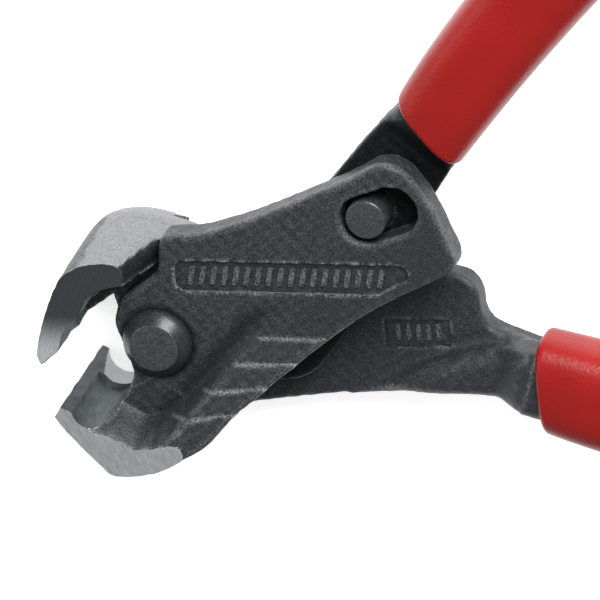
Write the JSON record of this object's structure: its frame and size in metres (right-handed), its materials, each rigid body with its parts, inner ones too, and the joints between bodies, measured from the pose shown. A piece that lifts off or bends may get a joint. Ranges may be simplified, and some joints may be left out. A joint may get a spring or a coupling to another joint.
{
  "type": "bolt cutters",
  "caption": "Compact one-hand bolt cutter with wide end-cutting jaws, a slotted lever plate driven by a pin, and two dipped grips.",
  "frame": {"origin": "on the jaw pivot axis, in the plane of the jaws' back flanks and the jaw rivet's back head, which the tool lies on", "axes": "+Z along the pivot axis toward the lever plate, +X along the closed tool from the jaws to the handle ends, +Y toward the drive handle"},
  "size_m": [0.2102, 0.1582, 0.025],
  "materials": {
    "forged_steel": "black finish over a drop-forged, shot-blasted surface",
    "rivet_steel": "satin black turned steel",
    "dipped_grip": "satin dipped soft PVC, red"
  },
  "bodies": {
    "frame": {"fixed_jaw_frame": "forged_steel", "jaw_rivet": "rivet_steel", "handle_rivet": "rivet_steel", "fixed_handle_grip": "dipped_grip"},
    "lever": {"moving_jaw_lever": "forged_steel"},
    "drive": {"drive_handle": "forged_steel", "drive_pin": "rivet_steel", "drive_handle_grip": "dipped_grip"}
  },
  "joints": [
    {"name": "handle_hinge", "type": "hinge", "parent": "frame", "child": "drive", "pos_m": [0.0194, 0.001, 0.0109], "axis": [0, 0, -1], "range_deg": [0, 40]},
    {"name": "jaw_hinge", "type": "hinge", "parent": "frame", "child": "lever", "pos_m": [0, 0, 0.016], "axis": [0, 0, -1], "range_deg": [0, 24]}
  ],
  "couplings": [
    {"joint": "jaw_hinge", "follows": "handle_hinge", "ratio": 0.6}
  ]
}
